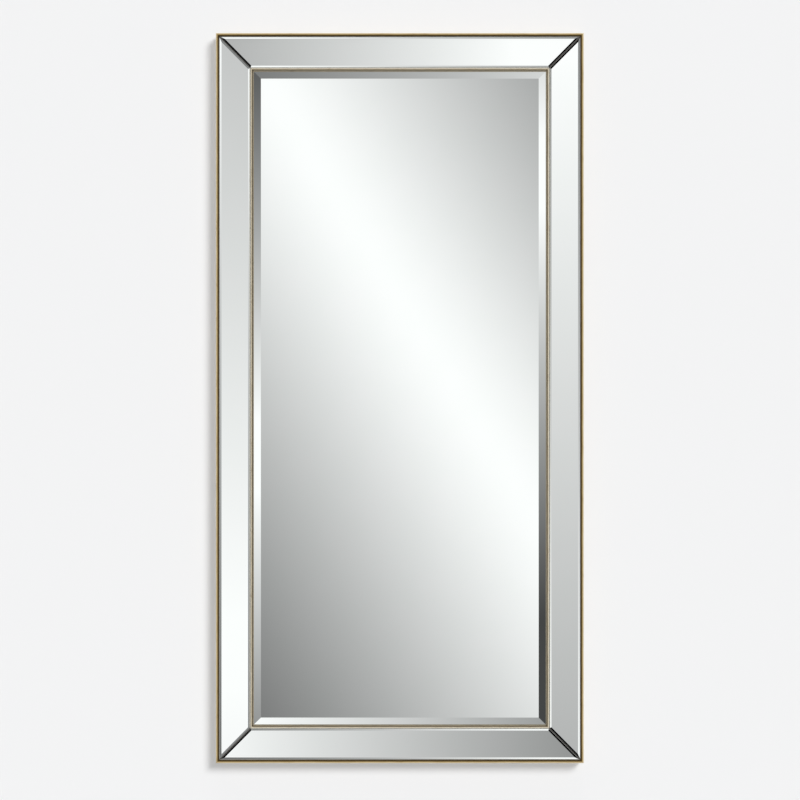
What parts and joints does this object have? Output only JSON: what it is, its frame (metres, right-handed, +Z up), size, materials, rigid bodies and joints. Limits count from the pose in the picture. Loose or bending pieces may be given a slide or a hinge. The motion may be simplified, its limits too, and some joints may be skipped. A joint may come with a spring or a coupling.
{
  "type": "wall mirror",
  "caption": "Tall rectangular wall mirror: bevelled centre plate in a sloping frame of mitred, bevelled mirror strips, edged outside and inside with gilt beads.",
  "frame": {"origin": "on the wall's face, midway between the inner far bends of the two upright hanger rings", "axes": "+Z up, +X to the right of someone who looks into the mirror, +Y into the wall; the mirror faces -Y"},
  "size_m": [0.762, 0.0332, 1.512],
  "materials": {
    "mirror_glass": "silvered float glass with polished bevels",
    "gilt": "antique gold leaf over moulded wood",
    "rail_wood": "black-brown stained softwood",
    "board": "plain brown hardboard",
    "biscuit": "compressed beech",
    "foam": "closed-cell foam sheet",
    "tape": "double-sided foam tape",
    "block": "black setting rubber",
    "bumper": "matt black rubber",
    "brace_steel": "zinc-plated steel",
    "hanger_steel": "nickel-plated steel",
    "screw_steel": "yellow-zinc steel"
  },
  "bodies": {
    "frame": {"backing_board": "board", "backing_screws": "screw_steel", "brace_screws": "screw_steel", "bumper_bottom_left": "bumper", "bumper_bottom_right": "bumper", "bumper_top_left": "bumper", "bumper_top_right": "bumper", "centre_mirror": "mirror_glass", "corner_brace_bottom_left": "brace_steel", "corner_brace_bottom_right": "brace_steel", "corner_brace_top_left": "brace_steel", "corner_brace_top_right": "brace_steel", "foam_sheet": "foam", "frame_rail_bottom": "rail_wood", "frame_rail_left": "rail_wood", "frame_rail_right": "rail_wood", "frame_rail_top": "rail_wood", "hanger_screws": "screw_steel", "hanger_strap_bottom": "hanger_steel", "hanger_strap_left": "hanger_steel", "hanger_strap_right": "hanger_steel", "hanger_strap_top": "hanger_steel", "inner_bead_bottom": "gilt", "inner_bead_left": "gilt", "inner_bead_right": "gilt", "inner_bead_top": "gilt", "mirror_strip_bottom": "mirror_glass", "mirror_strip_left": "mirror_glass", "mirror_strip_right": "mirror_glass", "mirror_strip_top": "mirror_glass", "mitre_biscuit_bottom_left": "biscuit", "mitre_biscuit_bottom_right": "biscuit", "mitre_biscuit_top_left": "biscuit", "mitre_biscuit_top_right": "biscuit", "outer_bead_bottom": "gilt", "outer_bead_left": "gilt", "outer_bead_right": "gilt", "outer_bead_top": "gilt", "setting_blocks": "block", "strip_tape_bottom": "tape", "strip_tape_left": "tape", "strip_tape_right": "tape", "strip_tape_top": "tape"},
    "ring_top": {"hanger_ring_top": "hanger_steel"},
    "ring_bottom": {"hanger_ring_bottom": "hanger_steel"},
    "ring_left": {"hanger_ring_left": "hanger_steel"},
    "ring_right": {"hanger_ring_right": "hanger_steel"}
  },
  "joints": [
    {"name": "ring_top_swing", "type": "hinge", "parent": "frame", "child": "ring_top", "pos_m": [0.191, -0.00515, 0.27702], "axis": [0, 0, 1], "range_deg": [0, 172]},
    {"name": "ring_bottom_swing", "type": "hinge", "parent": "frame", "child": "ring_bottom", "pos_m": [0.191, -0.00515, -1.16898], "axis": [0, 0, 1], "range_deg": [0, 172]},
    {"name": "ring_left_swing", "type": "hinge", "parent": "frame", "child": "ring_left", "pos_m": [-0.348, -0.00515, -0.01998], "axis": [-1, 0, 0], "range_deg": [0, 172]},
    {"name": "ring_right_swing", "type": "hinge", "parent": "frame", "child": "ring_right", "pos_m": [0.348, -0.00515, -0.01998], "axis": [-1, 0, 0], "range_deg": [0, 172]}
  ]
}
